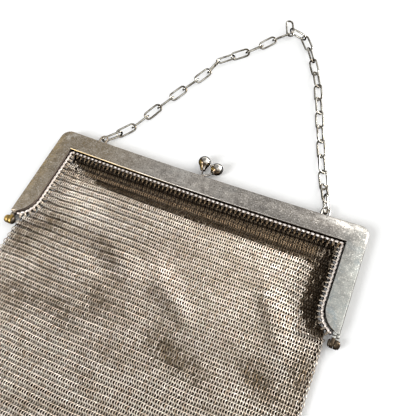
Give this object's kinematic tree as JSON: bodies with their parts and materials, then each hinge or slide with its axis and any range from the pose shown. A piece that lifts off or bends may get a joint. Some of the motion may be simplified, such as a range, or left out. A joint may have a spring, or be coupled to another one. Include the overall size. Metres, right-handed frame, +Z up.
{
  "type": "mesh purse",
  "caption": "Small metal mesh evening purse lying on its back: a hinged sheet-metal frame with a kiss lock, a pouch of fine ring mesh and a chain handle of oval links.",
  "frame": {"origin": "middle of the bounding box's bottom, on the surface the purse lies on", "axes": "+Z up out of the purse's front, +Y from the pouch towards the chain handle, +X along the frame's bar"},
  "size_m": [0.1528, 0.2782, 0.0058],
  "materials": {
    "frame": "worn and tarnished nickel silver, fine scratches",
    "worn": "bronze and gold tarnish",
    "bright": "bright polished, worn",
    "mesh": "warm silver ring mesh, darkened between the rings"
  },
  "bodies": {
    "root": {"frame_front": "frame", "frame_back": "frame", "hinge_pin_left": "worn", "hinge_pin_right": "worn", "clasp_ball_left": "bright", "clasp_ball_right": "bright", "binding_wire_front": "mesh", "binding_wire_back": "mesh", "mesh_bag": "mesh", "link_01": "bright", "link_02": "bright", "link_03": "bright", "link_04": "bright", "link_05": "bright", "link_06": "bright", "link_07": "bright", "link_08": "bright", "link_09": "bright", "link_10": "bright", "link_11": "bright", "link_12": "bright", "link_13": "bright", "link_14": "bright", "link_15": "bright", "link_16": "bright", "link_17": "bright", "link_18": "bright", "link_19": "bright", "link_20": "bright", "link_21": "bright", "link_22": "bright", "link_23": "bright", "link_24": "bright", "link_25": "bright", "link_26": "bright", "link_27": "bright", "link_28": "bright", "link_29": "bright"}
  },
  "joints": []
}
